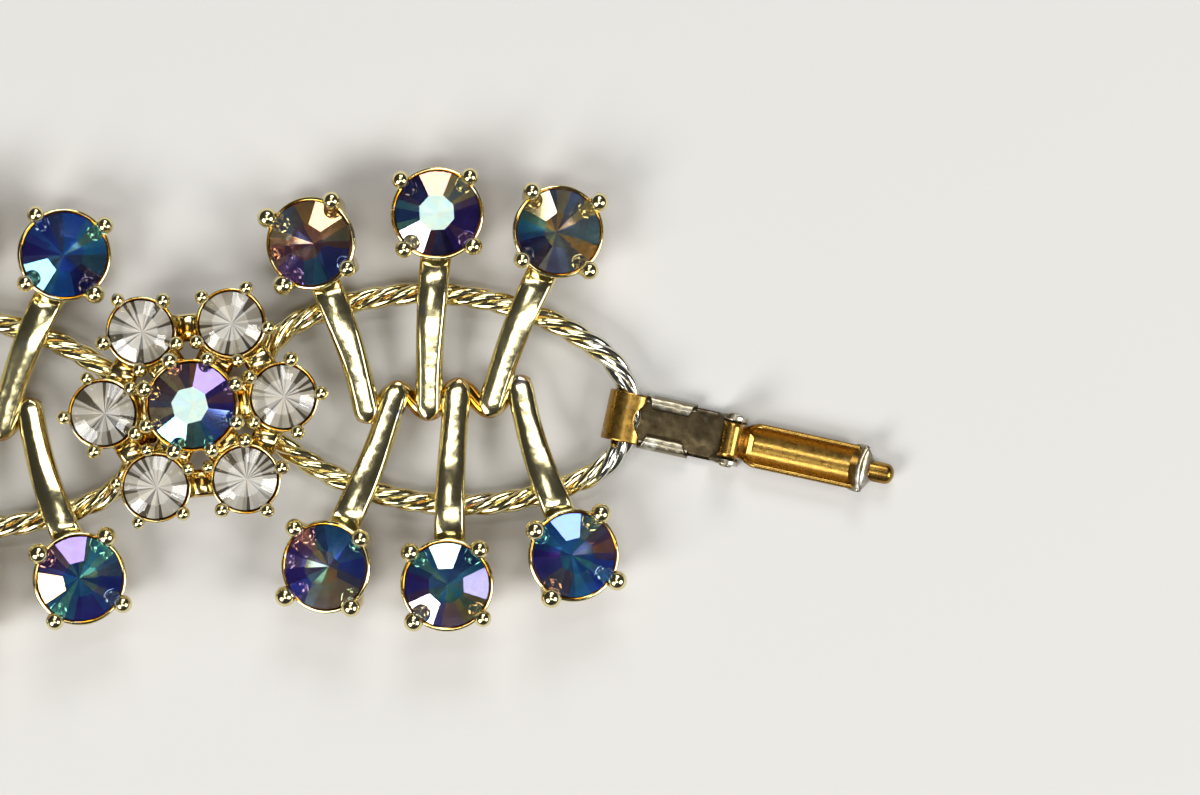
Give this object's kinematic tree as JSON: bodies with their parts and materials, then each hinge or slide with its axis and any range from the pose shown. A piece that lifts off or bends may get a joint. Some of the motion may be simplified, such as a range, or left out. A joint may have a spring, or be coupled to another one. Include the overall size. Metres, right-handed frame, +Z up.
{
  "type": "rhinestone link bracelet",
  "caption": "Gold-plated link bracelet of open rope ovals and flower clusters, set with iridescent and clear rhinestones, with a fold-over clasp lying open.",
  "frame": {"origin": "under the middle of the bracelet's length and width, on the table that its cups stand on", "axes": "+X along the bracelet towards the clasp, +Z up through the stones"},
  "size_m": [0.2064, 0.0334, 0.0072],
  "materials": {
    "gold_plate": "polished gold plate on a casting",
    "clasp_gold": "warm gold plate, lightly scratched",
    "worn_plate": "plating worn to dull grey-brown metal",
    "aurora_stone": "faceted glass with an iridescent coat",
    "clear_crystal": "faceted clear glass on a foil back"
  },
  "bodies": {
    "link_1": {"link_1_frame": "gold_plate", "link_1_flower": "gold_plate", "stone_1_top_left": "aurora_stone", "stone_1_top_middle": "aurora_stone", "stone_1_top_right": "aurora_stone", "stone_1_bottom_left": "aurora_stone", "stone_1_bottom_middle": "aurora_stone", "stone_1_bottom_right": "aurora_stone", "stone_1_centre": "aurora_stone", "crystals_1": "clear_crystal"},
    "link_2": {"link_2_frame": "gold_plate", "link_2_flower": "gold_plate", "stone_2_top_left": "aurora_stone", "stone_2_top_middle": "aurora_stone", "stone_2_top_right": "aurora_stone", "stone_2_bottom_left": "aurora_stone", "stone_2_bottom_middle": "aurora_stone", "stone_2_bottom_right": "aurora_stone", "stone_2_centre": "aurora_stone", "crystals_2": "clear_crystal"},
    "link_3": {"link_3_frame": "gold_plate", "link_3_flower": "gold_plate", "stone_3_top_left": "aurora_stone", "stone_3_top_middle": "aurora_stone", "stone_3_top_right": "aurora_stone", "stone_3_bottom_left": "aurora_stone", "stone_3_bottom_middle": "aurora_stone", "stone_3_bottom_right": "aurora_stone", "stone_3_centre": "aurora_stone", "crystals_3": "clear_crystal"},
    "link_4": {"link_4_frame": "gold_plate", "link_4_flower": "gold_plate", "stone_4_top_left": "aurora_stone", "stone_4_top_middle": "aurora_stone", "stone_4_top_right": "aurora_stone", "stone_4_bottom_left": "aurora_stone", "stone_4_bottom_middle": "aurora_stone", "stone_4_bottom_right": "aurora_stone", "stone_4_centre": "aurora_stone", "crystals_4": "clear_crystal"},
    "link_5": {"link_5_frame": "gold_plate", "link_5_flower": "gold_plate", "stone_5_top_left": "aurora_stone", "stone_5_top_middle": "aurora_stone", "stone_5_top_right": "aurora_stone", "stone_5_bottom_left": "aurora_stone", "stone_5_bottom_middle": "aurora_stone", "stone_5_bottom_right": "aurora_stone", "stone_5_centre": "aurora_stone", "crystals_5": "clear_crystal"},
    "clasp": {"clasp_base": "worn_plate", "clasp_pin": "worn_plate"},
    "cover": {"clasp_cover": "clasp_gold"},
    "catch": {"catch_loop": "gold_plate"}
  },
  "joints": [
    {"name": "hinge_1_2", "type": "hinge", "parent": "link_1", "child": "link_2", "pos_m": [-0.05732, -0.00113, 0.00165], "axis": [0, 1, 0], "range_deg": [-8, 60]},
    {"name": "hinge_2_3", "type": "hinge", "parent": "link_2", "child": "link_3", "pos_m": [-0.02192, -0.00113, 0.00165], "axis": [0, 1, 0], "range_deg": [-8, 60]},
    {"name": "hinge_3_4", "type": "hinge", "parent": "link_3", "child": "link_4", "pos_m": [0.01348, -0.00113, 0.00165], "axis": [0, 1, 0], "range_deg": [-8, 60]},
    {"name": "hinge_4_5", "type": "hinge", "parent": "link_4", "child": "link_5", "pos_m": [0.04888, -0.00113, 0.00165], "axis": [0, 1, 0], "range_deg": [-8, 60]},
    {"name": "clasp_hinge", "type": "hinge", "parent": "link_5", "child": "clasp", "pos_m": [0.0841, -0.00194, 0.00165], "axis": [0.2588, 0.9659, 0], "range_deg": [-60, 60]},
    {"name": "cover_hinge", "type": "hinge", "parent": "clasp", "child": "cover", "pos_m": [0.09144, -0.00391, 0.0024], "axis": [-0.2588, -0.9659, 0], "range_deg": [0, 180]},
    {"name": "catch_hinge", "type": "hinge", "parent": "link_1", "child": "catch", "pos_m": [-0.0926, -0.00113, 0.00165], "axis": [0, -1, 0], "range_deg": [-8, 60]}
  ]
}
